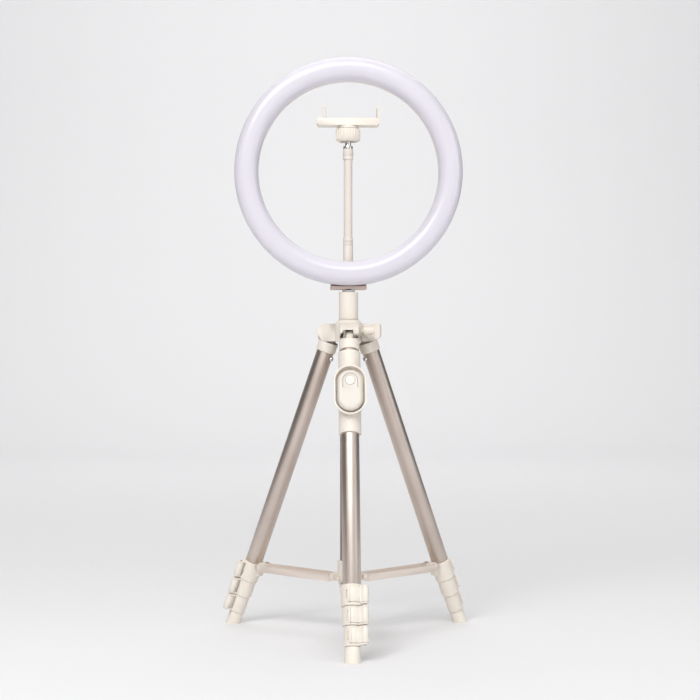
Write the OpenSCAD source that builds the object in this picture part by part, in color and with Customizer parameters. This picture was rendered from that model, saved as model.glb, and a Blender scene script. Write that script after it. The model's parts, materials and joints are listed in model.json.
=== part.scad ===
// Ring light on a folding three-leg stand with a phone clamp and a wireless remote.
// Origin: on the ground under the centre column. +Z up, the ring faces -Y, +X right.

/* [Ring head] */
// Outer diameter of the ring
ring_od = 260; // [200:1:320]
// Width of the ring's section, seen from the front
ring_w = 27.5; // [20:0.5:34]
// Height of the ring's centre over the ground
ring_z = 528; // [500:1:560]
// Depth of the opal diffuser
diffuser_d = 15; // [14:0.5:20]
// Depth of the back housing
housing_d = 9; // [7:0.5:14]
// Wall of the diffuser and of the housing
shell_t = 2; // [1.4:0.1:2.6]
// Number of light-emitting chips
led_count = 84; // [40:2:120]

/* [Stand] */
// Radius of the circle through the feet, on the ground
foot_circle_r = 156.6; // [140:0.1:170]
// Tilt of an open leg from the vertical, in degrees
leg_tilt = 21.36; // [19:0.01:23]
// Outer diameter of the top leg tube
tube_od = 20; // [18:0.5:20]
// Step in diameter from one leg tube to the next
tube_step = 3; // [2.8:0.1:3]
// Wall of the leg tubes
tube_t = 0.8; // [0.6:0.05:0.9]
// Outer diameter of the fixed guide tube under the crown
guide_od = 19.5; // [19:0.1:19.5]
// Outer width of a brace channel
brace_w = 22.7; // [22.4:0.1:23.2]

/* [Phone holder] */
// Distance of the gooseneck behind the ring's reference plane
arm_y = 18; // [17:0.5:24]
// Outer diameter of the gooseneck
arm_d = 10; // [8:0.5:11]
// Height of the ball's centre over the ground
ball_z = 573.5; // [570:0.5:580]
// Width of the phone clamp's back plate
clamp_w = 72; // [66:1:80]

/* [Remote control] */
// Width of the remote control
remote_w = 27.8; // [26:0.1:28.4]
// Length of the remote control
remote_l = 47; // [44:0.5:48]

/* [Hidden] */
$fn = 64;

FRONT = -90;
RIGHT = 30;
LEFT = 150;
LEGS = [FRONT, RIGHT, LEFT];

cream = [0.94, 0.90, 0.83];
champagne = [0.76, 0.69, 0.64];
opal = [0.93, 0.91, 0.97];
steel = [0.75, 0.75, 0.77];
dark_steel = [0.22, 0.21, 0.21];
board_white = [0.92, 0.94, 0.92];
led_yellow = [0.96, 0.86, 0.45];

// Clearances
run_gap = 0.1;   // between a shaft or a tube and the bore that it turns or slides in
seat_gap = 0.05; // between a tube and the bore that it is seated in
face_gap = 0.3;  // between faces of two moving pieces

// Leg: distances along its axis, from the ground up
foot_top = 16;
lock_bottom = [58.3, 37.8, 16.3];
lock_top = [81, 58, 37.5];
cap_bottom = 347.7;
crown_pivot_drop = 5; // from the crown pivot down to the faces that the leg cap meets
lug_bottom_z = 334.6;
cap_top = (lug_bottom_z + crown_pivot_drop * (1 - cos(leg_tilt))) / cos(leg_tilt);
crown_pivot_t = cap_top + crown_pivot_drop;
crown_pivot_q = foot_circle_r - crown_pivot_t * sin(leg_tilt);
crown_pivot_z = crown_pivot_t * cos(leg_tilt);
lock_r = [11.75, 10.5, 9.1];
tube_r = [for (k = [0:3]) (tube_od - k * tube_step) / 2];
tube_bottom = [68, 48, 27, 6];
tube_top = [355, 340, 334, 328];
stage_top_bush_l = 12;

// Flip levers, angles round the leg's axis from the outward side
lever_tip_a = -18;
boss_a = 57;
boss_ring_r = [16.3, 16, 15.5];
recess_end_a = 74;
recess_depth = 1.1;
lever_h = 15.6;
barrel_r = 4;
trunnion_r = 1.5;
ear_t = 1.8;

// Braces and their hub
lug_half_w = 5;
pivot_pin_r = 1.5;
outer_pivot_t = 80;
outer_pivot_x = -13.5;
hub_pivot_q = 17.7;
hub_pivot_z = 65.3;
outer_pivot_q = foot_circle_r + outer_pivot_x * cos(leg_tilt) - outer_pivot_t * sin(leg_tilt);
outer_pivot_z = outer_pivot_x * sin(leg_tilt) + outer_pivot_t * cos(leg_tilt);
brace_l = norm([outer_pivot_q - hub_pivot_q, outer_pivot_z - hub_pivot_z]);
brace_slope = atan2(outer_pivot_z - hub_pivot_z, outer_pivot_q - hub_pivot_q);
brace_wall = 1;
brace_below = 5;
brace_above = 3;
hub_bottom = 60.6;
hub_top = 85;
hub_r = 12.5;

// Crown and column
guide_r = guide_od / 2;
guide_bottom = 57;
guide_top = 340;
crown_top = 359.5;
lug_top_z = 355;
lug_end_q = 34;
lug_w = 21;
tongue_w = 8;
tongue_r = 6.6;
column_r = guide_r - 1.15;
column_bottom = 92;
head_r = 11;
head_bottom = crown_top + face_gap;
head_top = 390.5;
knob_a = -30;
knob_z = 346.5;
knob_wing_end = 41;
stud_r = 3.175;

// Ring head
ring_r = ring_od / 2;
ring_in_r = ring_r - ring_w;
ring_back_y = 3;
joint_h = housing_d - ring_back_y; // the diffuser meets the housing here, in front of the plane
front_h = joint_h + diffuser_d;
plate_bottom = 394.1;
plate_top = ring_z - ring_r - face_gap;
plate_w = 41;

// Remote, in its leg's frame
sleeve_bottom = 249;
sleeve_top = 345;
sleeve_r = 12.4;
cradle_t = 294.5;
cradle_half = 10.7;
cradle_x = 12;
remote_t = 293.5;
remote_x = 14.3;
remote_face_x = 24;
button_t = remote_t + 10.5;

// Frame of a leg at azimuth a: +Z runs up along the leg's axis, +X points outward
module leg_frame(a) {
    rotate([0, 0, a])
    translate([foot_circle_r, 0, 0])
    rotate([0, -leg_tilt, 0])
    children();
}

// A tube from z0 to z1
module tube(r, t, z0, z1) {
    translate([0, 0, z0])
    difference() {
        cylinder(r = r, h = z1 - z0);
        translate([0, 0, -1])
        cylinder(r = r - t, h = z1 - z0 + 2);
    }
}

// A solid of revolution: a cylinder from z0 to z1 with its two outer edges rounded
module rounded_disc(r, z0, z1, e) {
    rotate_extrude()
    union() {
        translate([0, z0])
        square([r - e, z1 - z0]);
        translate([0, z0 + e])
        square([r, z1 - z0 - 2 * e]);
        translate([r - e, z0 + e])
        circle(r = e, $fn = 32);
        translate([r - e, z1 - e])
        circle(r = e, $fn = 32);
    }
}

// A long shape with two round ends along Y: its half section is the child, with height on Z
module oval(half_len) {
    translate([0, half_len, 0])
    rotate_extrude(angle = 180)
    children();
    translate([0, -half_len, 0])
    rotate([0, 0, 180])
    rotate_extrude(angle = 180)
    children();
    rotate([90, 0, 0])
    linear_extrude(2 * half_len, center = true) {
        children();
        mirror([1, 0])
        children();
    }
}

// Turns Z outward, so that an oval stands along the leg with its face outward
module face_out() {
    rotate(a = 120, v = [1, 1, 1])
    children();
}

// ---------- Crown and guide tube ----------

// Side outline of one crown lug, distance from the centre on X and height on Y
module lug_outline() {
    corner_r = 8;
    difference() {
        union() {
            translate([8, lug_bottom_z])
            square([lug_end_q - corner_r - 8, lug_top_z - lug_bottom_z]);
            translate([8, lug_bottom_z])
            square([lug_end_q - 8, lug_top_z - corner_r - lug_bottom_z]);
            translate([lug_end_q - corner_r, lug_top_z - corner_r])
            circle(r = corner_r);
        }
        translate([crown_pivot_q, crown_pivot_z])
        rotate(leg_tilt)
        translate([-40, -crown_pivot_drop - 40])
        square([80, 40]);
    }
}

module crown_lug() {
    slot_w = tongue_w + 0.8;
    slot_in_q = crown_pivot_q - tongue_r - 1.4;
    roof_z = crown_pivot_z + tongue_r + 1;
    difference() {
        rotate([90, 0, 0])
        linear_extrude(lug_w, center = true)
        lug_outline();
        translate([slot_in_q, -slot_w / 2, lug_bottom_z - 1])
        cube([lug_end_q, slot_w, roof_z - lug_bottom_z + 1]);
    }
}

module crown() {
    body_r = 15.8;
    boss_r = 6.2;
    boss_end = 18.2;
    color(cream)
    difference() {
        union() {
            translate([0, 0, lug_bottom_z])
            cylinder(r = body_r, h = lug_top_z - lug_bottom_z);
            translate([0, 0, lug_top_z])
            cylinder(r1 = body_r, r2 = 12.3, h = 3.5);
            translate([0, 0, lug_top_z + 3.5])
            cylinder(r = 12.3, h = crown_top - lug_top_z - 3.5);
            for (a = LEGS)
                rotate([0, 0, a])
                crown_lug();
            rotate([0, 0, knob_a])
            translate([0, 0, knob_z])
            rotate([0, 90, 0])
            cylinder(r = boss_r, h = boss_end);
        }
        translate([0, 0, lug_bottom_z - 1])
        cylinder(r = guide_r + seat_gap, h = guide_top - lug_bottom_z + 1.2);
        cylinder(r = column_r + run_gap, h = crown_top + 1);
        rotate([0, 0, knob_a])
        translate([0, 0, knob_z])
        rotate([0, 90, 0])
        cylinder(r = 2.6, h = boss_end + 1);
    }
}

// Fixed tube that the column slides in and the hub slides on, with a stop bead at its lower end
module guide_tube() {
    color(champagne)
    difference() {
        union() {
            translate([0, 0, guide_bottom])
            cylinder(r = guide_r, h = guide_top - guide_bottom);
            rounded_disc(guide_r + 1.6, guide_bottom, guide_bottom + 3, 0.8);
        }
        translate([0, 0, guide_bottom + 3])
        cylinder(r = guide_r - 0.95, h = guide_top);
    }
}

// ---------- Braces ----------

module hub_lug() {
    translate([0, 0, hub_pivot_z])
    rotate([90, 0, 0])
    linear_extrude(2 * lug_half_w, center = true)
    union() {
        translate([hub_r - 3, -4.2])
        square([hub_pivot_q - hub_r + 3, 8.4]);
        translate([hub_pivot_q, 0])
        circle(r = 4.2);
    }
}

module brace_hub() {
    color(cream)
    difference() {
        union() {
            rounded_disc(hub_r, hub_bottom, hub_top, 1.2);
            for (a = LEGS)
                rotate([0, 0, a])
                hub_lug();
        }
        translate([0, 0, hub_bottom - 1])
        cylinder(r = guide_r + run_gap, h = hub_top - hub_bottom + 2);
        for (a = LEGS)
            rotate([0, 0, a])
            translate([hub_pivot_q, 0, hub_pivot_z])
            rotate([90, 0, 0])
            cylinder(r = pivot_pin_r + run_gap, h = 2 * lug_half_w + 2, center = true);
    }
}

// Side outline of a brace wall, from the hub pivot at 0 to the leg pivot
module brace_outline() {
    end_r = 4.5;
    union() {
        circle(r = end_r);
        translate([brace_l, 0])
        circle(r = end_r);
        translate([0, -end_r])
        square([brace_l, end_r + brace_above]);
        translate([2, -brace_below])
        square([brace_l - 4, brace_below]);
    }
}

// A pivot rivet across the channel, with a round head on each side
module brace_rivet() {
    rotate([90, 0, 0]) {
        cylinder(r = pivot_pin_r, h = brace_w, center = true, $fn = 32);
        for (s = [-1, 1])
            translate([0, 0, s * (brace_w / 2 + 0.4)])
            cylinder(r = 2.6, h = 0.8, center = true, $fn = 32);
    }
}

module brace(a) {
    web_gap = 8; // the web stops this far from each pivot, to clear the lugs
    color(champagne)
    rotate([0, 0, a])
    translate([hub_pivot_q, 0, hub_pivot_z])
    rotate([0, -brace_slope, 0]) {
        difference() {
            rotate([90, 0, 0])
            linear_extrude(brace_w, center = true)
            brace_outline();
            translate([-6, -(brace_w / 2 - brace_wall), -(brace_below - brace_wall)])
            cube([brace_l + 12, brace_w - 2 * brace_wall, 20]);
            for (x = [-6, brace_l - web_gap])
                translate([x, -(brace_w / 2 - brace_wall), -brace_below - 1])
                cube([6 + web_gap, brace_w - 2 * brace_wall, 20]);
        }
        brace_rivet();
        translate([brace_l, 0, 0])
        brace_rivet();
    }
}

// ---------- Legs ----------

// Cap on the top of a leg, with the tongue that fits the crown's slot
module leg_cap(a) {
    cap_r = 11.4;
    cap_end = cap_top - 0.3;
    color(cream)
    leg_frame(a)
    difference() {
        union() {
            rounded_disc(cap_r, cap_bottom, cap_end, 0.8);
            translate([0, 0, crown_pivot_t])
            rotate([90, 0, 0])
            cylinder(r = tongue_r, h = tongue_w, center = true);
            translate([-tongue_r, -tongue_w / 2, cap_end - 2])
            cube([2 * tongue_r, tongue_w, crown_pivot_t - cap_end + 2]);
        }
        translate([0, 0, cap_bottom - 1])
        cylinder(r = tube_r[0] + seat_gap, h = tube_top[0] - cap_bottom + 1.1);
    }
}

// Leg tube k, counted from 0 at the top; the inner tubes carry a guide bush at their top
module leg_tube(k, a) {
    color(champagne)
    leg_frame(a) {
        tube(tube_r[k], tube_t, tube_bottom[k], tube_top[k]);
        if (k > 0)
            tube(tube_r[k - 1] - tube_t - run_gap, 1.2, tube_top[k] - stage_top_bush_l, tube_top[k]);
    }
}

// One ear of the lever's hinge, drawn flat
module ear_outline(k) {
    union() {
        rotate(boss_a)
        translate([lock_r[k] - 2.5, -3])
        square([boss_ring_r[k] - lock_r[k] + 2.5, 6]);
        rotate(boss_a)
        translate([boss_ring_r[k], 0])
        circle(r = 3.3, $fn = 32);
    }
}

// Lug on the top lock that a brace is riveted to
module brace_lug() {
    lug_r = 4;
    difference() {
        union() {
            translate([outer_pivot_x, -lug_half_w, outer_pivot_t - lug_r])
            cube([4, 2 * lug_half_w, 2 * lug_r]);
            translate([outer_pivot_x, 0, outer_pivot_t])
            rotate([90, 0, 0])
            cylinder(r = lug_r, h = 2 * lug_half_w, center = true);
            translate([outer_pivot_x - 1, -lug_half_w, outer_pivot_t - 12])
            cube([5, 2 * lug_half_w, 12]);
        }
        translate([outer_pivot_x, 0, outer_pivot_t])
        rotate([90, 0, 0])
        cylinder(r = pivot_pin_r + run_gap, h = 2 * lug_half_w + 2, center = true);
    }
}

// Lock k, counted from 0 at the top: seated on tube k, it clamps tube k + 1
module leg_lock(k, a) {
    mid = (lock_bottom[k] + lock_top[k]) / 2;
    recess_h = lever_h + 0.5;
    seat_t = tube_bottom[k] - 0.2;
    color(cream)
    leg_frame(a)
    difference() {
        union() {
            difference() {
                rounded_disc(lock_r[k], lock_bottom[k], lock_top[k], 0.7);
                translate([0, 0, mid - recess_h / 2])
                rotate([0, 0, lever_tip_a - 3])
                rotate_extrude(angle = recess_end_a - lever_tip_a + 3)
                translate([lock_r[k] - recess_depth, 0])
                square([recess_depth + 5, recess_h]);
            }
            for (z = [mid - lever_h / 2 - 0.2 - ear_t, mid + lever_h / 2 + 0.2])
                translate([0, 0, z])
                linear_extrude(ear_t)
                ear_outline(k);
            if (k == 0)
                brace_lug();
        }
        translate([0, 0, lock_bottom[k] - 1])
        cylinder(r = tube_r[k + 1] + run_gap, h = 40);
        translate([0, 0, seat_t])
        cylinder(r = tube_r[k] + seat_gap, h = 40);
        rotate([0, 0, boss_a])
        translate([boss_ring_r[k], 0, mid])
        cylinder(r = trunnion_r + run_gap, h = lever_h + 2 * ear_t + 2, center = true, $fn = 32);
        rotate([0, 0, recess_end_a - 8])
        translate([0, -0.5, lock_bottom[k] - 1])
        cube([lock_r[k] - 0.9, 1, mid - lock_bottom[k] + 1]);
    }
}

// Flip lever of lock k: an arc that closes over the lock's recess, hinged beside it
module leg_lever(k, a) {
    mid = (lock_bottom[k] + lock_top[k]) / 2;
    in_r = lock_r[k] - recess_depth + 0.2;
    out_r = lock_r[k] + 0.9;
    arm_end_a = 51;
    color(cream)
    leg_frame(a)
    translate([0, 0, mid]) {
        difference() {
            linear_extrude(lever_h, center = true)
            union() {
                intersection() {
                    difference() {
                        circle(r = out_r);
                        circle(r = in_r);
                    }
                    polygon([[0, 0], for (i = [0:4])
                        let (b = lever_tip_a + i * (arm_end_a - lever_tip_a) / 4) [30 * cos(b), 30 * sin(b)]]);
                }
                rotate(boss_a)
                translate([in_r + 0.4, -3.8])
                square([boss_ring_r[k] - in_r - 0.4, 5]);
                rotate(boss_a)
                translate([boss_ring_r[k], 0])
                circle(r = barrel_r);
                rotate(lever_tip_a)
                translate([in_r + 0.5, 0])
                square([out_r + 2 - in_r, 1.8]);
            }
            rotate([0, 0, lever_tip_a])
            translate([in_r - 1, -1, -lever_h / 2 - 1])
            cube([10, 1.6, 4]);
        }
        rotate([0, 0, boss_a])
        translate([boss_ring_r[k], 0, 0])
        cylinder(r = trunnion_r, h = lever_h + 2 * ear_t, center = true, $fn = 32);
    }
}

// Soft foot on the lowest tube, cut flat along the ground
module leg_foot(a) {
    foot_r = 8.4;
    color(cream)
    difference() {
        leg_frame(a)
        difference() {
            union() {
                translate([0, 0, -6])
                cylinder(r1 = foot_r + 0.2, r2 = foot_r - 0.3, h = foot_top + 5);
                translate([0, 0, foot_top - 1])
                cylinder(r1 = foot_r - 0.3, r2 = foot_r - 1.1, h = 1);
            }
            translate([0, 0, tube_bottom[3] - 0.1])
            cylinder(r = tube_r[3] + seat_gap, h = foot_top);
        }
        translate([-2 * foot_circle_r, -2 * foot_circle_r, -20])
        cube([4 * foot_circle_r, 4 * foot_circle_r, 20]);
    }
}

// ---------- Centre column ----------

module column() {
    color(champagne)
    tube(column_r, 0.9, column_bottom, head_bottom + 12);
}

module column_head() {
    color(cream)
    difference() {
        rounded_disc(head_r, head_bottom, head_top, 0.8);
        translate([0, 0, head_bottom - 1])
        cylinder(r = column_r + seat_gap, h = 13.1);
        translate([0, 0, head_bottom])
        cylinder(r = stud_r + seat_gap, h = 60);
    }
}

// Wing knob that clamps the column, on its steel screw
module column_knob() {
    color(cream)
    rotate([0, 0, knob_a])
    translate([0, 0, knob_z])
    rotate([0, 90, 0]) {
        translate([0, 0, column_r + 0.4])
        cylinder(r = 2.45, h = 18);
        translate([0, 0, 21.5])
        cylinder(r1 = 5.2, r2 = 4.2, h = knob_wing_end - 6 - 21.5);
        translate([0, 0, knob_wing_end - 9])
        rotate([90, 0, 0])
        linear_extrude(4.4, center = true)
        union() {
            translate([-4.5, 0])
            square([9, 9]);
            for (s = [-1, 1])
                translate([s * 4.6, 4.8])
                circle(r = 4.2);
        }
    }
}

module mount_stud() {
    color(steel)
    translate([0, 0, head_top - 10])
    cylinder(r = stud_r, h = plate_top - head_top + 10 - 0.4);
}

// Serrated lock disc under the bracket
module lock_disc() {
    disc_r = 7.3;
    color(steel)
    difference() {
        translate([0, 0, head_top + face_gap])
        cylinder(r = disc_r, h = 2);
        translate([0, 0, head_top])
        cylinder(r = stud_r + run_gap, h = 4);
        for (i = [0:19])
            rotate([0, 0, i * 18])
            translate([disc_r + 0.3, 0, head_top])
            cylinder(r = 0.8, h = 4, $fn = 16);
    }
}

// ---------- Ring head ----------

// Section of the ring with a round front, radius on X and distance forward on Y
module ring_section(wall, h0) {
    corner_r = 12 - wall;
    w0 = ring_in_r + wall;
    w1 = ring_r - wall;
    top = front_h - wall;
    union() {
        translate([w0, h0])
        square([w1 - w0, top - corner_r - h0]);
        translate([w0 + corner_r, h0])
        square([w1 - w0 - 2 * corner_r, top - h0]);
        for (x = [w0 + corner_r, w1 - corner_r])
            translate([x, top - corner_r])
            circle(r = corner_r, $fn = 96);
    }
}

module ring_place() {
    translate([0, 0, ring_z])
    rotate([90, 0, 0])
    children();
}

module ring_diffuser() {
    color(opal)
    ring_place()
    rotate_extrude($fn = 180)
    intersection() {
        difference() {
            ring_section(0, joint_h - 8);
            ring_section(shell_t, joint_h - 8);
        }
        translate([0, joint_h + 0.1])
        square([ring_od, ring_od]);
    }
}

// Back housing: a tray with a rounded back edge and a raised box for the lead's socket
module ring_back() {
    edge_r = 3;
    box_w = 52;
    box_h = 20;
    box_d = 9;
    box_bottom = ring_z - ring_r + 3.2;
    color(cream)
    difference() {
        union() {
            ring_place()
            rotate_extrude($fn = 180)
            difference() {
                union() {
                    translate([ring_in_r, edge_r - ring_back_y])
                    square([ring_w, housing_d - edge_r]);
                    translate([ring_in_r + edge_r, -ring_back_y])
                    square([ring_w - 2 * edge_r, housing_d]);
                    for (x = [ring_in_r + edge_r, ring_r - edge_r])
                        translate([x, edge_r - ring_back_y])
                        circle(r = edge_r, $fn = 32);
                }
                translate([ring_in_r + shell_t, shell_t - ring_back_y])
                square([ring_w - 2 * shell_t, housing_d]);
            }
            for (s = [-1, 1])
                translate([s * 30 - 7, ring_back_y - 1, box_bottom + 4])
                cube([14, box_d - 2, box_h - 6]);
        }
        translate([30 - 4.6, ring_back_y, box_bottom])
        cube([9.2, 3.4, 10]);
    }
}

module led_ring() {
    board_in = ring_in_r + shell_t + 1;
    board_out = ring_r - shell_t - 1;
    board_h = 1.6;
    led_r = (board_in + board_out) / 2;
    ring_place() {
        color(board_white)
        translate([0, 0, shell_t - ring_back_y + face_gap])
        difference() {
            cylinder(r = board_out, h = board_h, $fn = 96);
            translate([0, 0, -1])
            cylinder(r = board_in, h = board_h + 2, $fn = 96);
        }
        color(led_yellow)
        for (i = [0:led_count - 1])
            rotate([0, 0, i * 360 / led_count])
            translate([led_r - 1.75, -1.4, shell_t - ring_back_y + face_gap + board_h - 0.1])
            cube([3.5, 2.8, 0.9]);
    }
}

// Bracket under and behind the ring, with the socket that the gooseneck stands in
module ring_bracket() {
    back_top = 424;
    plate_front = -9;
    plate_end = arm_y + 10;
    socket_r = 8.6;
    color(cream)
    difference() {
        union() {
            translate([-plate_w / 2 + 2, plate_front, plate_bottom])
            cube([plate_w - 4, plate_end - plate_front, plate_top - plate_bottom]);
            translate([-plate_w / 2, plate_front + 2, plate_bottom])
            cube([plate_w, plate_end - plate_front - 4, plate_top - plate_bottom]);
            for (x = [2 - plate_w / 2, plate_w / 2 - 2])
                for (y = [plate_front + 2, plate_end - 2])
                    translate([x, y, plate_bottom])
                    cylinder(r = 2, h = plate_top - plate_bottom, $fn = 32);
            translate([-plate_w / 2, ring_back_y + face_gap, plate_bottom])
            cube([plate_w, 3, back_top - plate_bottom]);
            translate([0, arm_y, plate_bottom])
            cylinder(r = socket_r, h = 18);
            translate([-2, ring_back_y + 1, plate_bottom])
            cube([4, arm_y - ring_back_y - 4, 24]);
        }
        translate([0, arm_y, plate_top + 1])
        cylinder(r = arm_d / 2 + 0.8 + seat_gap, h = 40);
        translate([0, 0, plate_bottom - 1])
        cylinder(r = stud_r + run_gap, h = 10);
    }
}

// ---------- Phone holder ----------

// Flexible arm with a ferrule crimped on each end
module gooseneck() {
    ferrule_r = arm_d / 2 + 0.8;
    color(cream)
    translate([0, arm_y, 0]) {
        rounded_disc(ferrule_r, plate_top + 1.1, 454, 0.6);
        translate([0, 0, 450])
        cylinder(r = arm_d / 2, h = 98);
        rounded_disc(ferrule_r + 0.3, 544, 556.5, 0.6);
    }
}

module ball_stud() {
    ball_r = 8;
    color(steel)
    translate([0, arm_y, 0]) {
        translate([0, 0, ball_z])
        sphere(r = ball_r);
        translate([0, 0, 556.6])
        cylinder(r = 5.6, h = 2.9);
        translate([0, 0, 558])
        cylinder(r = 3.4, h = ball_z - 562);
    }
}

module ball_socket() {
    socket_top = ball_z + 6.6;
    color(cream)
    translate([0, arm_y, 0])
    difference() {
        translate([0, 0, ball_z - 5])
        cylinder(r = 11.4, h = socket_top - ball_z + 5);
        translate([0, 0, ball_z])
        sphere(r = 8 + run_gap);
        for (b = [45, 135])
            rotate([0, 0, b])
            translate([-20, -0.6, ball_z - 6])
            cube([40, 1.2, 6]);
    }
}

// Knurled collar that tightens the socket on the ball
module clamp_collar() {
    collar_r = 13.5;
    collar_bottom = ball_z - 8.5;
    collar_h = 14.8;
    rib_count = 26;
    color(cream)
    translate([0, arm_y, collar_bottom])
    difference() {
        union() {
            cylinder(r1 = collar_r - 1.6, r2 = collar_r, h = 2.4);
            translate([0, 0, 2.4])
            cylinder(r = collar_r, h = collar_h - 3.2);
            translate([0, 0, collar_h - 0.8])
            cylinder(r1 = collar_r, r2 = collar_r - 0.8, h = 0.8);
            for (i = [0:rib_count - 1])
                rotate([0, 0, i * 360 / rib_count])
                translate([collar_r - 0.1, 0, 1.8])
                cylinder(r = 0.75, h = collar_h - 3, $fn = 16);
        }
        translate([0, 0, -1])
        cylinder(r = 9.6, h = collar_h);
        translate([0, 0, 3.2])
        cylinder(r = 11.4 + run_gap, h = collar_h);
    }
}

// Back plate of the clamp with its fixed jaw and the dome over the ball socket
module clamp_body() {
    plate_z0 = ball_z + 9.5;
    plate_z1 = ball_z + 17.5;
    half_d = 11.2;
    jaw_half = 9;
    jaw_top = 605;
    edge_r = 3.5;
    dome_r = 13;
    slot_z0 = plate_z0 + 2.6;
    color(cream)
    translate([0, arm_y, 0])
    difference() {
        union() {
            rotate([90, 0, 0])
            linear_extrude(2 * half_d, center = true)
            union() {
                translate([-clamp_w / 2 + edge_r, plate_z0])
                square([clamp_w - 2 * edge_r, plate_z1 - plate_z0]);
                translate([-clamp_w / 2, plate_z0 + edge_r])
                square([clamp_w, plate_z1 - plate_z0 - edge_r]);
                for (x = [-clamp_w / 2 + edge_r, clamp_w / 2 - edge_r])
                    translate([x, plate_z0 + edge_r])
                    circle(r = edge_r, $fn = 32);
            }
            translate([clamp_w / 2 - 2.2, -jaw_half, plate_z0 + edge_r])
            cube([2.2, 2 * jaw_half, jaw_top - plate_z0 - edge_r - 2]);
            translate([clamp_w / 2 - 2.2, -jaw_half + 2, jaw_top - 3])
            cube([2.2, 2 * jaw_half - 4, 3]);
            for (s = [-1, 1])
                translate([clamp_w / 2 - 2.2, s * (jaw_half - 2), jaw_top - 2])
                rotate([0, 90, 0])
                cylinder(r = 2, h = 2.2, $fn = 32);
            intersection() {
                translate([0, 0, ball_z + 3])
                sphere(r = dome_r);
                translate([-dome_r, -dome_r, ball_z + 6.8])
                cube([2 * dome_r, 2 * dome_r, plate_z1 - ball_z - 7.5]);
            }
        }
        translate([0, 0, ball_z])
        sphere(r = 8.6);
        translate([-clamp_w / 2 - 1, -8.3, slot_z0 - 0.2])
        cube([clamp_w / 2 + 16, 16.6, 3.4]);
        translate([-clamp_w / 2 - 1, -4.3, slot_z0 + 1])
        cube([clamp_w / 2 - 24.7, 8.6, 10]);
    }
}

// Sprung jaw: a vertical plate on a slide that runs inside the back plate
module clamp_jaw() {
    plate_z0 = ball_z + 9.5;
    plate_z1 = ball_z + 17.5;
    slide_z = plate_z0 + 2.6;
    jaw_x = -28.4;
    jaw_half = 9;
    jaw_top = 605.5;
    color(cream)
    translate([0, arm_y, 0])
    union() {
        translate([jaw_x, -8, slide_z])
        cube([40, 16, 3]);
        translate([jaw_x, -4, slide_z])
        cube([2.2, 8, plate_z1 - slide_z + 2]);
        translate([jaw_x, -jaw_half, plate_z1 + face_gap])
        cube([2.2, 2 * jaw_half, jaw_top - plate_z1 - face_gap - 2]);
        translate([jaw_x, -jaw_half + 2, jaw_top - 3])
        cube([2.2, 2 * jaw_half - 4, 3]);
        for (s = [-1, 1])
            translate([jaw_x, s * (jaw_half - 2), jaw_top - 2])
            rotate([0, 90, 0])
            cylinder(r = 2, h = 2.2, $fn = 32);
    }
}

// ---------- Remote control ----------

// Sleeve round the front leg with the oval cradle that the remote snaps into
module remote_holder() {
    floor_t = 2;
    rim_x = 21;
    cavity_r = remote_w / 2 + 1;
    ridge_t = 325;
    color(cream)
    leg_frame(FRONT)
    difference() {
        union() {
            rounded_disc(sleeve_r, sleeve_bottom, sleeve_top, 0.8);
            translate([0, 0, cradle_t])
            face_out()
            translate([0, 0, cradle_x])
            oval(cradle_half)
            polygon([[0, -3], [cavity_r - 1, -3], [cavity_r + 1.6, 0], [cavity_r + 3, rim_x - cradle_x],
                [cavity_r + 1.5, rim_x - cradle_x], [cavity_r, floor_t], [0, floor_t]]);
            translate([sleeve_r - 1, -5, ridge_t - 0.8])
            cube([2, 10, 1.6]);
        }
        translate([0, 0, sleeve_bottom - 1])
        cylinder(r = tube_r[0] + seat_gap, h = sleeve_top - sleeve_bottom + 2);
    }
}

// Half section of the remote: rounded on its face, chamfered on its back
module remote_section() {
    half = remote_w / 2;
    depth = remote_face_x - remote_x;
    face_r = 4;
    union() {
        square([half - 1, depth - face_r]);
        translate([0, 1])
        square([half, depth - face_r - 1]);
        square([half - face_r, depth]);
        translate([half - face_r, depth - face_r])
        circle(r = face_r, $fn = 48);
    }
}

module remote_body() {
    well_r = 5.6;
    color(cream)
    leg_frame(FRONT)
    difference() {
        translate([0, 0, remote_t])
        face_out()
        translate([0, 0, remote_x])
        oval((remote_l - remote_w) / 2)
        remote_section();
        translate([remote_face_x - 2.5, 0, button_t])
        rotate([0, 90, 0])
        cylinder(r = well_r, h = 10);
    }
}

module remote_button() {
    color(cream)
    leg_frame(FRONT)
    translate([remote_face_x - 1.3, 0, button_t])
    rotate([0, 90, 0]) {
        cylinder(r = 5.3, h = 1.4);
        translate([0, 0, 1.4])
        cylinder(r1 = 5.3, r2 = 4.7, h = 0.5);
    }
}

// ---------- What is drawn ----------

crown();
guide_tube();
brace_hub();
brace(FRONT);  // brace_front
brace(RIGHT);  // brace_right
brace(LEFT);  // brace_left
column();
column_head();
column_knob();
mount_stud();
lock_disc();
ring_bracket();
ring_back();
ring_diffuser();
led_ring();
gooseneck();
ball_stud();
ball_socket();
clamp_collar();
clamp_body();
clamp_jaw();
remote_holder();
remote_body();
remote_button();
leg_cap(FRONT);  // leg_cap_front
leg_tube(0, FRONT);  // tube_1_front
leg_lock(0, FRONT);  // lock_1_front
leg_lever(0, FRONT);  // lever_1_front
leg_tube(1, FRONT);  // tube_2_front
leg_lock(1, FRONT);  // lock_2_front
leg_lever(1, FRONT);  // lever_2_front
leg_tube(2, FRONT);  // tube_3_front
leg_lock(2, FRONT);  // lock_3_front
leg_lever(2, FRONT);  // lever_3_front
leg_tube(3, FRONT);  // tube_4_front
leg_foot(FRONT);  // foot_front
leg_cap(RIGHT);  // leg_cap_right
leg_tube(0, RIGHT);  // tube_1_right
leg_lock(0, RIGHT);  // lock_1_right
leg_lever(0, RIGHT);  // lever_1_right
leg_tube(1, RIGHT);  // tube_2_right
leg_lock(1, RIGHT);  // lock_2_right
leg_lever(1, RIGHT);  // lever_2_right
leg_tube(2, RIGHT);  // tube_3_right
leg_lock(2, RIGHT);  // lock_3_right
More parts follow.
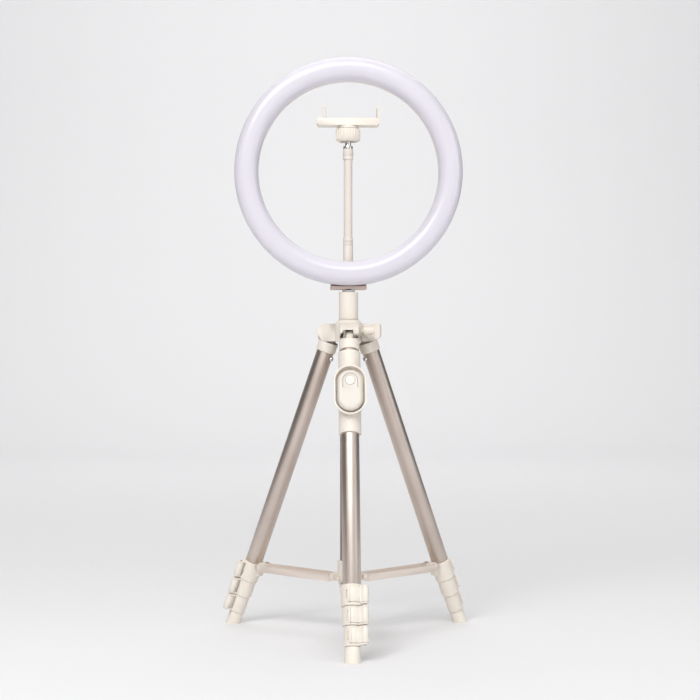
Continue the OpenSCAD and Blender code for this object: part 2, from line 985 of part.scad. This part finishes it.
leg_lever(2, RIGHT);  // lever_3_right
leg_tube(3, RIGHT);  // tube_4_right
leg_foot(RIGHT);  // foot_right
leg_cap(LEFT);  // leg_cap_left
leg_tube(0, LEFT);  // tube_1_left
leg_lock(0, LEFT);  // lock_1_left
leg_lever(0, LEFT);  // lever_1_left
leg_tube(1, LEFT);  // tube_2_left
leg_lock(1, LEFT);  // lock_2_left
leg_lever(1, LEFT);  // lever_2_left
leg_tube(2, LEFT);  // tube_3_left
leg_lock(2, LEFT);  // lock_3_left
leg_lever(2, LEFT);  // lever_3_left
leg_tube(3, LEFT);  // tube_4_left
leg_foot(LEFT);  // foot_left
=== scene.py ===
"""Looks of a ring light on a folding three-leg stand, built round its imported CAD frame. Units are metres."""

import json
import math

import bmesh
import bpy
from mathutils import Matrix, Vector


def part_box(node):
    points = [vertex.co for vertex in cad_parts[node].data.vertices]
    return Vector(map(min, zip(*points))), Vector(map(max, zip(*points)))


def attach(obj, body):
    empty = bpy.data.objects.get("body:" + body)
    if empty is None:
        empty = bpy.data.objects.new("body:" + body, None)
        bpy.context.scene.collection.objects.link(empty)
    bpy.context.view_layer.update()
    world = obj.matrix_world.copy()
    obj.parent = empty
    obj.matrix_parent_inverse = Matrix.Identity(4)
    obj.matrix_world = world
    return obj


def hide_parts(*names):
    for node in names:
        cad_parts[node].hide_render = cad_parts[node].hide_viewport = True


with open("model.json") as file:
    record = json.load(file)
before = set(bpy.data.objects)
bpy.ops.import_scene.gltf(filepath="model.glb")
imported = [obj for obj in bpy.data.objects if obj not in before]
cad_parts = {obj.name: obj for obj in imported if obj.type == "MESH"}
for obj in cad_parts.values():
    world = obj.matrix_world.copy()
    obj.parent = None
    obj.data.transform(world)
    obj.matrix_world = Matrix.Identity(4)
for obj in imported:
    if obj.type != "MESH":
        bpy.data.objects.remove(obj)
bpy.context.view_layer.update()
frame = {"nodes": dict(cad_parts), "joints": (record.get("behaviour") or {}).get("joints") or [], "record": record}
NODES = frame["nodes"]
JOINTS = {j["name"]: j for j in frame["joints"]}
MOUNTS = {m["name"]: m for m in frame["record"]["mounts"]}
SIDES = ("front", "right", "left")
MM = 0.001
EDGE_WIDTH = 0.35 * MM


# ---------- Camera, lights and floor ----------

IMAGE_SIDE = 700
CAMERA_AZIMUTH = math.radians(-1.6)
CAMERA_DISTANCE = 1.7089
CAMERA_HEIGHT = 0.3224
CAMERA_LENS = 76.95
AXIS_COLUMN = 348.5
HORIZON_ROW = 352.1


def make_camera():
    data = bpy.data.cameras.new("camera")
    data.sensor_width = 36
    data.lens = CAMERA_LENS
    data.shift_x = (IMAGE_SIDE / 2 - AXIS_COLUMN) / IMAGE_SIDE
    data.shift_y = (HORIZON_ROW - IMAGE_SIDE / 2) / IMAGE_SIDE
    data.clip_start = 0.05
    data.clip_end = 60
    cam = bpy.data.objects.new("camera", data)
    bpy.context.scene.collection.objects.link(cam)
    cam.location = (
        CAMERA_DISTANCE * math.sin(CAMERA_AZIMUTH),
        -CAMERA_DISTANCE * math.cos(CAMERA_AZIMUTH),
        CAMERA_HEIGHT,
    )
    cam.rotation_euler = (math.pi / 2, 0, CAMERA_AZIMUTH)
    bpy.context.scene.camera = cam
    bpy.context.scene.view_settings.view_transform = "Standard"


def area_light(name, place, target, size, power, colour=(1, 1, 1)):
    data = bpy.data.lights.new(name, "AREA")
    data.shape = "RECTANGLE"
    data.size, data.size_y = size
    data.energy = power
    data.color = colour
    light = bpy.data.objects.new(name, data)
    bpy.context.scene.collection.objects.link(light)
    light.location = place
    light.rotation_euler = (Vector(target) - Vector(place)).to_track_quat("-Z", "Y").to_euler()


def make_lights():
    area_light("key", (-0.6, -1.95, 1.95), (0, 0, 0.3), (2.2, 1.3), 37, (1, 0.985, 0.975))
    area_light("accent", (-1.1, -1.7, 2.0), (0, 0, 0.5), (0.45, 0.45), 7)
    area_light("fill", (2.1, -1.3, 0.9), (0, 0, 0.35), (0.9, 1.6), 8, (0.97, 0.98, 1))
    area_light("top", (0.1, 0.7, 2.6), (0, 0.3, 0), (2.4, 2.0), 10)
    area_light("wall", (0, 2.0, 2.3), (0, 4.2, 0.9), (2.6, 0.8), 25)


def make_world():
    """Pale to the eye; in reflections bright in front and above, and dim at the sides, as in a studio."""
    world = bpy.data.worlds.new("studio")
    bpy.context.scene.world = world
    world.use_nodes = True
    nodes, links = world.node_tree.nodes, world.node_tree.links
    nodes.clear()
    out = nodes.new("ShaderNodeOutputWorld")
    coord = nodes.new("ShaderNodeTexCoord")
    split = nodes.new("ShaderNodeSeparateXYZ")
    side = nodes.new("ShaderNodeMath")
    side.operation = "ABSOLUTE"
    falloff = nodes.new("ShaderNodeValToRGB")
    falloff.color_ramp.elements[0].position = 0.3
    falloff.color_ramp.elements[0].color = (0.95, 0.95, 0.95, 1)
    falloff.color_ramp.elements[1].position = 0.8
    falloff.color_ramp.elements[1].color = (0.10, 0.095, 0.095, 1)
    around = nodes.new("ShaderNodeBackground")
    around.inputs["Strength"].default_value = 0.92
    seen = nodes.new("ShaderNodeBackground")
    seen.inputs["Color"].default_value = (0.83, 0.835, 0.845, 1)
    path = nodes.new("ShaderNodeLightPath")
    mix = nodes.new("ShaderNodeMixShader")
    links.new(coord.outputs["Generated"], split.inputs[0])
    links.new(split.outputs["X"], side.inputs[0])
    links.new(side.outputs[0], falloff.inputs["Fac"])
    links.new(falloff.outputs["Color"], around.inputs["Color"])
    links.new(path.outputs["Is Camera Ray"], mix.inputs["Fac"])
    links.new(around.outputs[0], mix.inputs[1])
    links.new(seen.outputs[0], mix.inputs[2])
    links.new(mix.outputs[0], out.inputs["Surface"])


def make_floor():
    """A wide floor, and behind it a sweep that curves up to a wall."""
    wide, near, bend_start, bend_r, wall_top, wall_half = 9.0, -7.0, 3.0, 1.4, 6.0, 1.9
    material = bpy.data.materials.new("pale_floor")
    material.use_nodes = True
    shader = material.node_tree.nodes["Principled BSDF"]
    shader.inputs["Base Color"].default_value = (0.82, 0.82, 0.83, 1)
    shader.inputs["Roughness"].default_value = 0.75
    shader.inputs["Specular IOR Level"].default_value = 0.2
    steps = 24
    arc = [
        (bend_start + bend_r * math.sin(a), bend_r * (1 - math.cos(a)))
        for a in (math.pi / 2 * i / steps for i in range(steps + 1))
    ]
    outlines = {
        "floor": (wide, [(near, 0.0), (bend_start, 0.0)]),
        "sweep": (wall_half, arc + [(bend_start + bend_r, wall_top)]),
    }
    for name, (half, outline) in outlines.items():
        mesh = bpy.data.meshes.new(name)
        points = [(x, y, z) for y, z in outline for x in (-half, half)]
        faces = [(2 * i, 2 * i + 1, 2 * i + 3, 2 * i + 2) for i in range(len(outline) - 1)]
        mesh.from_pydata(points, [], faces)
        mesh.materials.append(material)
        for p in mesh.polygons:
            p.use_smooth = True
        obj = bpy.data.objects.new(name, mesh)
        bpy.context.scene.collection.objects.link(obj)


# ---------- Materials ----------

def new_material(name):
    material = bpy.data.materials.new(name)
    material.use_nodes = True
    tree = material.node_tree
    return material, tree, tree.nodes["Principled BSDF"]


def noise(tree, scale, detail=2.0, stretch=None, turn=None):
    """A noise texture over the piece's own coordinates, stretched and turned if asked."""
    coord = tree.nodes.new("ShaderNodeTexCoord")
    texture = tree.nodes.new("ShaderNodeTexNoise")
    texture.inputs["Scale"].default_value = scale
    texture.inputs["Detail"].default_value = detail
    source = coord.outputs["Object"]
    if turn is not None:
        aim = tree.nodes.new("ShaderNodeMapping")
        aim.inputs["Rotation"].default_value = turn
        tree.links.new(source, aim.inputs["Vector"])
        source = aim.outputs["Vector"]
    if stretch is not None:
        pull = tree.nodes.new("ShaderNodeMapping")
        pull.inputs["Scale"].default_value = stretch
        tree.links.new(source, pull.inputs["Vector"])
        source = pull.outputs["Vector"]
    tree.links.new(source, texture.inputs["Vector"])
    return texture.outputs["Fac"]


def ramp(tree, source, low, high, start=0.35, end=0.65):
    """A colour ramp from low to high over the middle of a noise."""
    node = tree.nodes.new("ShaderNodeValToRGB")
    node.color_ramp.elements[0].position = start
    node.color_ramp.elements[0].color = (*low, 1)
    node.color_ramp.elements[1].position = end
    node.color_ramp.elements[1].color = (*high, 1)
    tree.links.new(source, node.inputs["Fac"])
    return node.outputs["Color"]


def spread(tree, source, low, high):
    """A noise mapped from low to high."""
    node = tree.nodes.new("ShaderNodeMapRange")
    node.inputs["From Min"].default_value = 0.3
    node.inputs["From Max"].default_value = 0.7
    node.inputs["To Min"].default_value = low
    node.inputs["To Max"].default_value = high
    tree.links.new(source, node.inputs["Value"])
    return node.outputs["Result"]


def bump(tree, shader, source, strength, distance):
    node = tree.nodes.new("ShaderNodeBump")
    node.inputs["Strength"].default_value = strength
    node.inputs["Distance"].default_value = distance
    tree.links.new(source, node.inputs["Height"])
    tree.links.new(node.outputs["Normal"], shader.inputs["Normal"])


def plastic(name, light, shade, rough, grain=0.12, grain_scale=1400, soften=0.12):
    """Moulded plastic: faint flow variation in the colour, a fine spark texture and uneven gloss."""
    material, tree, shader = new_material(name)
    flow = noise(tree, 22, 4)
    tree.links.new(ramp(tree, flow, shade, light), shader.inputs["Base Color"])
    tree.links.new(spread(tree, noise(tree, 160, 3), rough - 0.05, rough + 0.05), shader.inputs["Roughness"])
    bump(tree, shader, noise(tree, grain_scale, 2), grain, 0.0001)
    shader.inputs["Subsurface Weight"].default_value = soften
    shader.inputs["Subsurface Radius"].default_value = (1.0, 0.8, 0.6)
    shader.inputs["Subsurface Scale"].default_value = 0.0015
    shader.inputs["Specular IOR Level"].default_value = 0.45
    return material


def opal():
    """Opal diffuser: milky lavender body under a glossy skin, with a faint mould haze."""
    material, tree, shader = new_material("opal")
    haze = ramp(tree, noise(tree, 5, 1), (0.685, 0.655, 0.735), (0.695, 0.665, 0.745), 0.1, 0.9)
    tree.links.new(haze, shader.inputs["Base Color"])
    tree.links.new(spread(tree, noise(tree, 400, 2), 0.28, 0.31), shader.inputs["Roughness"])
    bump(tree, shader, noise(tree, 900, 2), 0.05, 0.0001)
    shader.inputs["Subsurface Weight"].default_value = 0.35
    shader.inputs["Subsurface Radius"].default_value = (1.0, 0.9, 1.0)
    shader.inputs["Subsurface Scale"].default_value = 0.006
    shader.inputs["Coat Weight"].default_value = 0.5
    shader.inputs["Coat Roughness"].default_value = 0.12
    return material


def drawn_aluminium(name, turn, low=(0.60, 0.52, 0.465), high=(0.67, 0.59, 0.535), rough=(0.34, 0.5)):
    """Champagne anodised metal with fine drawing lines along its axis, which turn brings onto Z."""
    material, tree, shader = new_material(name)
    lines = noise(tree, 1.0, 3, stretch=(2600, 2600, 9), turn=turn)
    tone = noise(tree, 14, 3)
    tree.links.new(ramp(tree, tone, low, high), shader.inputs["Base Color"])
    tree.links.new(spread(tree, lines, *rough), shader.inputs["Roughness"])
    bump(tree, shader, lines, 0.10, 0.00005)
    shader.inputs["Metallic"].default_value = 1.0
    return material


def plated(name, low, high, rough):
    """Plated or blackened steel with faint turning marks and stains."""
    material, tree, shader = new_material(name)
    tree.links.new(ramp(tree, noise(tree, 700, 3), low, high), shader.inputs["Base Color"])
    tree.links.new(spread(tree, noise(tree, 1800, 2), rough - 0.06, rough + 0.08), shader.inputs["Roughness"])
    bump(tree, shader, noise(tree, 2500, 2), 0.08, 0.00005)
    shader.inputs["Metallic"].default_value = 1.0
    return material


def leg_matrix(side):
    """Frame of a leg: origin where its axis meets the ground, +Z up along it, +X outward."""
    origin = Vector(MOUNTS[f"foot_{side}"]["pos_m"])
    up = -Vector(JOINTS[f"stage_2_{side}_slide"]["axis"]).normalized()
    radial = Vector((origin.x, origin.y, 0)).normalized()
    across = Vector((0, 0, 1)).cross(radial)
    out = across.cross(up)
    return Matrix.Translation(origin) @ Matrix((out, across, up)).transposed().to_4x4()


def brace_turn(side):
    """Turn that brings the length of a brace, from its hub pivot to its leg pivot, onto Z."""
    start = Vector(JOINTS[f"brace_{side}_fold"]["pos_m"])
    end = Vector(JOINTS[f"leg_{side}_fold"]["pos_m"])
    return (end - start).to_track_quat("Z", "Y").inverted().to_euler()


LEG = {side: leg_matrix(side) for side in SIDES}
MAT = {
    "cream": plastic("cream_plastic", (0.80, 0.745, 0.67), (0.78, 0.72, 0.64), 0.42),
    "lever": plastic("lever_plastic", (0.80, 0.75, 0.68), (0.78, 0.73, 0.655), 0.34, grain=0.06),
    "arm": plastic("arm_sleeve", (0.72, 0.665, 0.61), (0.70, 0.645, 0.59), 0.38, grain=0.08),
    "button": plastic("button_plastic", (0.83, 0.785, 0.71), (0.81, 0.765, 0.69), 0.30, grain=0.04),
    "remote": plastic("remote_shell", (0.70, 0.66, 0.595), (0.68, 0.64, 0.575), 0.36, grain=0.05),
    # painted shade: a dark plastic for the remote's arch bead, standing in for the shade line along the arch
    "arch_shade_line": plastic("painted_arch_shade", (0.42, 0.38, 0.335), (0.39, 0.35, 0.31), 0.5, grain=0.1),
    "housing": plastic("housing_plastic", (0.76, 0.70, 0.665), (0.74, 0.68, 0.64), 0.4),
    # ring bracket: its own rose-tan colour, darkened further as painted shadow of the ring above it
    "bracket": plastic("bracket_tan_painted_shadow", (0.50, 0.39, 0.35), (0.47, 0.365, 0.325), 0.35, grain=0.2),
    "foot": plastic("soft_foot", (0.84, 0.79, 0.70), (0.81, 0.755, 0.66), 0.62, grain=0.3, grain_scale=900),
    "pad": plastic("jaw_pad", (0.79, 0.745, 0.67), (0.75, 0.70, 0.62), 0.7, grain=0.3, grain_scale=900),
    "opal": opal(),
    "bright": plated("bright_steel", (0.70, 0.69, 0.68), (0.82, 0.81, 0.80), 0.18),
    "dark": plated("dark_steel", (0.055, 0.05, 0.05), (0.11, 0.10, 0.10), 0.4),
    "board": plastic("led_board", (0.82, 0.84, 0.82), (0.78, 0.80, 0.78), 0.45),
    "column": drawn_aluminium("champagne_column", (0, 0, 0)),
}
for side in SIDES:
    MAT[f"tube_{side}"] = drawn_aluminium(f"champagne_leg_{side}", LEG[side].inverted().to_euler())
    MAT[f"brace_{side}"] = drawn_aluminium(
        f"champagne_brace_{side}", brace_turn(side),
        low=(0.80, 0.72, 0.66), high=(0.85, 0.77, 0.71), rough=(0.52, 0.66),
    )

NODE_MATERIAL = {"ring_back": "housing", "ring_bracket": "bracket", "remote_body": "remote"}
SLOT_MATERIAL = {
    "cream_plastic": "cream",
    "lever_plastic": "lever",
    "cream_arm": "arm",
    "button_plastic": "button",
    "bright_steel": "bright",
    "dark_steel": "dark",
    "opal_diffuser": "opal",
    "led_board": "board",
    "soft_foot": "foot",
}


def finish_of(node, slot):
    """The material of a CAD node: its own, its slot's, or the one drawn along its own tube or brace."""
    if node in NODE_MATERIAL:
        return MAT[NODE_MATERIAL[node]]
    if slot in SLOT_MATERIAL:
        return MAT[SLOT_MATERIAL[slot]]
    kind, side = node.split("_")[0], node.split("_")[-1]
    return MAT.get(f"{kind}_{side}", MAT["column"])


def dress_frame():
    """Gives each CAD node its material, eased edges and smooth shading."""
    for part in frame["record"]["subparts"]:
        obj = NODES[part["node"]]
        obj.data.materials.clear()
        obj.data.materials.append(finish_of(part["node"], part["material_slot"]))
        ease_edges(obj, EDGE_WIDTH)


def ease_edges(obj, width):
    """Rounds the edges of a hard-edged mesh a little, as a mould or a polish does."""
    weld = obj.modifiers.new("weld", "WELD")
    weld.merge_threshold = 2e-6
    bevel = obj.modifiers.new("bevel", "BEVEL")
    bevel.width = width
    bevel.segments = 2
    bevel.limit_method = "ANGLE"
    bevel.angle_limit = math.radians(38)
    bevel.use_clamp_overlap = True
    bevel.harden_normals = True
    for p in obj.data.polygons:
        p.use_smooth = True


# ---------- Pieces ----------

def add_piece(name, mesh, body, material, smooth=True):
    """A new piece from a mesh in the row frame, on its body and material."""
    mesh.materials.clear()
    mesh.materials.append(material)
    for p in mesh.polygons:
        p.use_smooth = smooth
    if smooth:
        mesh.set_sharp_from_angle(angle=math.radians(35))
    obj = bpy.data.objects.new(name, mesh)
    bpy.context.scene.collection.objects.link(obj)
    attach(obj, body)
    return obj


def mesh_from(name, points, faces):
    mesh = bpy.data.meshes.new(name)
    mesh.from_pydata([tuple(p) for p in points], [], faces)
    work = bmesh.new()
    work.from_mesh(mesh)
    bmesh.ops.recalc_face_normals(work, faces=work.faces)
    work.to_mesh(mesh)
    work.free()
    mesh.update()
    return mesh


def lathe(name, profile, place, segments=48):
    """A closed solid turned from (radius, height) points, first and last on the axis, put in place."""
    points, faces, rings = [], [], []
    for radius, height in profile:
        if radius < 1e-9:
            rings.append([len(points)])
            points.append(place @ Vector((0, 0, height)))
            continue
        rings.append(list(range(len(points), len(points) + segments)))
        for i in range(segments):
            a = 2 * math.pi * i / segments
            points.append(place @ Vector((radius * math.cos(a), radius * math.sin(a), height)))
    for low, high in zip(rings, rings[1:]):
        for i in range(segments):
            j = (i + 1) % segments
            if len(low) == 1:
                faces.append((low[0], high[i], high[j]))
            elif len(high) == 1:
                faces.append((low[i], low[j], high[0]))
            else:
                faces.append((low[i], low[j], high[j], high[i]))
    return mesh_from(name, points, faces)


def threaded_rod(name, radius, pitch, depth, length, place, segments=40):
    """A rod with a true helical thread along Z, from 0 to length."""
    rows_per_turn = 8
    rows = int(length / pitch * rows_per_turn)
    points, faces = [], []
    for k in range(rows + 1):
        height = length * k / rows
        for i in range(segments):
            turn = i / segments
            phase = (height / pitch - turn) % 1.0
            r = radius - depth * abs(2 * phase - 1)
            a = 2 * math.pi * turn
            points.append(place @ Vector((r * math.cos(a), r * math.sin(a), height)))
    for k in range(rows):
        low, high = k * segments, (k + 1) * segments
        for i in range(segments):
            j = (i + 1) % segments
            faces.append((low + i, low + j, high + j, high + i))
    faces.append(tuple(reversed(range(segments))))
    faces.append(tuple(range(rows * segments, (rows + 1) * segments)))
    return mesh_from(name, points, faces)


def facing(place, direction):
    """A matrix at place whose Z points along direction."""
    return Matrix.Translation(place) @ Vector(direction).to_track_quat("Z", "Y").to_matrix().to_4x4()


def screw_head(name, place, radius, body):
    """A domed screw head with a cross recess cut in it."""
    height = 0.85 * radius
    steps = 6
    dome = [(radius * math.cos(a), height * (0.35 + 0.65 * math.sin(a)))
            for a in (math.pi / 2 * i / steps for i in range(steps + 1))]
    profile = [(0, -0.2 * radius), (radius, -0.2 * radius), *dome[:-1], (0, height)]
    mesh = lathe(name, profile, Matrix.Identity(4), 32)
    head = add_piece(name, mesh, body, MAT["bright"])
    cutter = bpy.data.meshes.new(name + "_cutter")
    work = bmesh.new()
    for turn in (0, math.pi / 2):
        cube = bmesh.ops.create_cube(work, size=1)["verts"]
        bmesh.ops.scale(work, vec=(1.2 * radius, 0.26 * radius, 1.0 * radius), verts=cube)
        bmesh.ops.translate(work, vec=(0, 0, height + 0.05 * radius), verts=cube)
        bmesh.ops.rotate(work, matrix=Matrix.Rotation(turn, 3, "Z"), verts=cube)
    work.to_mesh(cutter)
    work.free()
    tool = bpy.data.objects.new(name + "_tool", cutter)
    bpy.context.scene.collection.objects.link(tool)
    cut = head.modifiers.new("cut", "BOOLEAN")
    cut.object = tool
    cut.operation = "DIFFERENCE"
    cut.use_self = True
    graph = bpy.context.evaluated_depsgraph_get()
    made = bpy.data.meshes.new_from_object(head.evaluated_get(graph))
    head.modifiers.clear()
    head.data = made
    bpy.data.objects.remove(tool)
    made.transform(place)
    return head


def leg_point(side, x, y, t):
    return LEG[side] @ Vector((x * MM, y * MM, t * MM))


def add_cap_screw(side):
    """Chrome screw on the inner side of a leg's first tube, under its cap."""
    radial, screw_t, radius = 10.4, 341.4, 2.7 * MM
    place = facing(leg_point(side, -radial, 0, screw_t), LEG[side].to_3x3() @ Vector((-1, 0, 0)))
    screw_head(f"cap_screw_{side}", place, radius, f"leg_{side}")


def add_lever_pins(side):
    """The hinge pin of each lever on a leg."""
    half, radius, end = 9.85 * MM, 1.05 * MM, 0.2 * MM
    profile = [(0, -half), (radius * 0.8, -half), (radius, -half + end),
               (radius, half - end), (radius * 0.8, half), (0, half)]
    for k in (1, 2, 3):
        joint = JOINTS[f"lever_{k}_{side}_flip"]
        place = facing(Vector(joint["pos_m"]), Vector(joint["axis"]))
        pin = lathe(f"lever_pin_{k}_{side}", profile, place, 24)
        add_piece(f"lever_pin_{k}_{side}", pin, f"lever_{k}_{side}", MAT["dark"])


def slot_tool(name, side, middle, radius):
    """The closed block, curved round a leg, that cuts one lock's slot. Sizes are in millimetres."""
    depth, outside, half_height = 1.3, 1.5, 5.0
    start, end, steps = math.radians(-35), math.radians(-26), 4
    points, faces = [], []
    for i in range(steps + 1):
        a = start + (end - start) * i / steps
        for r in (radius - depth, radius + outside):
            for t in (middle - half_height, middle + half_height):
                points.append(leg_point(side, r * math.cos(a), r * math.sin(a), t))
    for i in range(steps):
        p, q = 4 * i, 4 * (i + 1)
        faces += [(p, p + 1, q + 1, q), (p + 2, q + 2, q + 3, p + 3),
                  (p, q, q + 2, p + 2), (p + 1, p + 3, q + 3, q + 1)]
    last = 4 * steps
    faces += [(0, 2, 3, 1), (last, last + 1, last + 3, last + 2)]
    tool = bpy.data.objects.new(name, mesh_from(name, points, faces))
    bpy.context.scene.collection.objects.link(tool)
    tool.hide_render = True
    return tool


def cut_lever_slots(side):
    """A slot beside each lever's tip, cut by a modifier, so the shown lock differs from the CAD's."""
    middles, radii = (69.65, 47.9, 26.9), (11.75, 10.5, 9.1)
    for k, (middle, radius) in enumerate(zip(middles, radii), start=1):
        cut = NODES[f"lock_{k}_{side}"].modifiers.new("slot", "BOOLEAN")
        cut.object = slot_tool(f"slot_tool_{k}_{side}", side, middle, radius)
        cut.operation = "DIFFERENCE"
        cut.solver = "EXACT"


def add_knob_screw():
    """The wing knob's threaded screw, from the column out into the hub."""
    joint = JOINTS["column_knob_turn"]
    pivot, axis = Vector(joint["pos_m"]), Vector(joint["axis"]).normalized()
    outward = axis if axis.dot(pivot) >= 0 else -axis
    tip_radial, length = 9.4 * MM, 13.2 * MM
    place = facing(pivot + outward * (tip_radial - pivot.to_2d().length), outward)
    screw = threaded_rod("knob_screw", 2.55 * MM, 0.8 * MM, 0.3 * MM, length, place)
    add_piece("knob_screw", screw, "column_knob", MAT["bright"])


def add_threaded_stud():
    """The stud that the ring is mounted on, with its thread."""
    low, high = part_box("mount_stud")
    place = Matrix.Translation((0, 0, low.z))
    stud = threaded_rod("threaded_stud", (high.x - low.x) / 2, 1.27 * MM, 0.55 * MM, high.z - low.z, place)
    piece = add_piece("threaded_stud", stud, "column", MAT["dark"])
    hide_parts("mount_stud")


def add_gooseneck():
    """The arm with rolled ferrules: crimp grooves near each end and a soft shoulder."""
    low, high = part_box("gooseneck")
    centre_y = (low.y + high.y) / 2
    arm, ferrule, upper = 5.0 * MM, 5.8 * MM, 6.1 * MM
    groove = 0.35 * MM
    z0, z1, z2, z3 = low.z, 0.454, 0.544, high.z

    def crimp(radius, z):
        return [(radius, z - 0.9 * MM), (radius - groove, z - 0.4 * MM),
                (radius - groove, z + 0.4 * MM), (radius, z + 0.9 * MM)]

    profile = [(0, z0), (ferrule - 0.5 * MM, z0), (ferrule, z0 + 0.5 * MM)]
    profile += crimp(ferrule, z1 - 9 * MM) + crimp(ferrule, z1 - 5 * MM)
    profile += [(ferrule, z1 - 0.9 * MM), (ferrule - 0.35 * MM, z1 - 0.2 * MM), (arm, z1)]
    ribs = 45
    for i in range(ribs):
        z = z1 + (z2 - z1) * (i + 0.5) / ribs
        profile += [(arm, z - 0.6 * MM), (arm - 0.06 * MM, z)]
    profile += [(arm, z2), (upper - 0.35 * MM, z2 + 0.2 * MM), (upper, z2 + 0.9 * MM)]
    profile += crimp(upper, z2 + 4 * MM)
    profile += [(upper, z3 - 0.9 * MM), (upper - 0.5 * MM, z3), (0, z3)]
    mesh = lathe("arm", profile, Matrix.Translation((0, centre_y, 0)), 64)
    piece = add_piece("flexible_arm", mesh, "ring_head", MAT["arm"])
    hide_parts("gooseneck")


def add_ring_screws():
    """Screws that hold the back housing, between the two rims."""
    low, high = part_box("ring_back")
    centre = (low + high) / 2
    mid_r = (high.x - low.x) / 2 - 13.75 * MM
    count = 8
    for i in range(count):
        a = 2 * math.pi * (i + 0.5) / count
        spot = Vector((centre.x + mid_r * math.cos(a), 3.0 * MM, centre.z + mid_r * math.sin(a)))
        screw_head(f"housing_screw_{i + 1}", facing(spot, (0, 1, 0)), 2.6 * MM, "ring_head")


def ribbed_pad(name, x, inward, body):
    """A thin soft pad with cross ribs on the inner face of a jaw."""
    low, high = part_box("clamp_jaw")
    y0, y1 = low.y + 1.2 * MM, high.y - 1.2 * MM
    z0, z1 = 0.5925, high.z - 1.6 * MM
    ribs, depth, rib = 5, 0.45 * MM, 0.35 * MM
    outline = [(0, z0), (depth, z0)]
    pitch = (z1 - z0) / ribs
    for i in range(ribs):
        base = z0 + i * pitch
        outline += [(depth, base + 0.2 * pitch), (depth + rib, base + 0.4 * pitch),
                    (depth + rib, base + 0.6 * pitch), (depth, base + 0.8 * pitch)]
    outline += [(depth, z1), (0, z1)]
    count = len(outline)
    points = [(x + inward * d, y, z) for y in (y0, y1) for d, z in outline]
    faces = [(i, (i + 1) % count, count + (i + 1) % count, count + i) for i in range(count)]
    faces += [tuple(range(count)), tuple(range(2 * count - 1, count - 1, -1))]
    add_piece(name, mesh_from(name, points, faces), body, MAT["pad"], smooth=False)


def add_clamp_details():
    """A ribbed pad on the inner face of each jaw."""
    jaw_t = 2.2 * MM
    ribbed_pad("sliding_jaw_pad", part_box("clamp_jaw")[0].x + jaw_t, 1, "clamp_jaw")
    ribbed_pad("fixed_jaw_pad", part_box("clamp_body")[1].x - jaw_t, -1, "clamp")


def swept_line(name, path, radius, sides=8):
    """A closed round bead along an open path, thinner at both ends."""
    points, faces = [], []
    last = len(path) - 1
    for i, spot in enumerate(path):
        along = (path[min(i + 1, last)] - path[max(i - 1, 0)]).normalized()
        turn = along.to_track_quat("Z", "Y")
        r = radius * (0.25 if i in (0, last) else 1.0)
        for k in range(sides):
            a = 2 * math.pi * k / sides
            points.append(spot + turn @ Vector((r * math.cos(a), r * math.sin(a), 0)))
    for i in range(last):
        for k in range(sides):
            j = (k + 1) % sides
            faces.append((i * sides + k, i * sides + j, (i + 1) * sides + j, (i + 1) * sides + k))
    faces.append(tuple(reversed(range(sides))))
    faces.append(tuple(range(last * sides, (last + 1) * sides)))
    return mesh_from(name, points, faces)


def button_place():
    """How far out and how high up the front leg the middle of the remote's button stands."""
    to_leg = LEG["front"].inverted()
    spots = [to_leg @ v.co for v in NODES["remote_button"].data.vertices]
    heights = [s.z for s in spots]
    return max(s.x for s in spots), (max(heights) + min(heights)) / 2


def add_remote_arch():
    """The raised arch round the top of the remote's face, coloured dark as a painted shade line along it."""
    to_leg = LEG["front"].inverted()
    face_x = max((to_leg @ v.co).x for v in NODES["remote_body"].data.vertices)
    t = button_place()[1]
    arch_r, straight, arc_steps, straight_steps = 8.2 * MM, 9.0 * MM, 24, 6
    outline = [(arch_r, -straight + straight * i / straight_steps) for i in range(straight_steps)]
    for i in range(arc_steps + 1):
        a = math.pi * i / arc_steps
        outline.append((arch_r * math.cos(a), arch_r * math.sin(a)))
    outline += [(-arch_r, -straight * (i + 1) / straight_steps) for i in range(straight_steps)]
    path = [LEG["front"] @ Vector((face_x, y, t + up)) for y, up in outline]
    add_piece("remote_arch", swept_line("remote_arch", path, 0.45 * MM), "remote", MAT["arch_shade_line"])


def add_button_mark():
    """A plain raised ring on the remote's button."""
    top, t = button_place()
    axis = -Vector(JOINTS["remote_press"]["axis"]).normalized()
    place = facing(LEG["front"] @ Vector((top, 0, t)), axis)
    r, w, h = 2.6 * MM, 0.35 * MM, 0.12 * MM
    profile = [(r - w, -h), (r + w, -h), (r + w, h * 0.6), (r, h), (r - w, h * 0.6)]
    mesh = lathe("mark", profile + profile[:1], place, 40)
    work = bmesh.new()
    work.from_mesh(mesh)
    bmesh.ops.remove_doubles(work, verts=work.verts, dist=1e-7)
    work.to_mesh(mesh)
    work.free()
    add_piece("button_mark", mesh, "remote_button", MAT["arm"])


make_camera()
make_world()
make_lights()
make_floor()
dress_frame()
for side in SIDES:
    if side != "front":
        add_cap_screw(side)
    add_lever_pins(side)
    cut_lever_slots(side)
add_knob_screw()
add_threaded_stud()
add_gooseneck()
add_ring_screws()
add_clamp_details()
add_remote_arch()
add_button_mark()
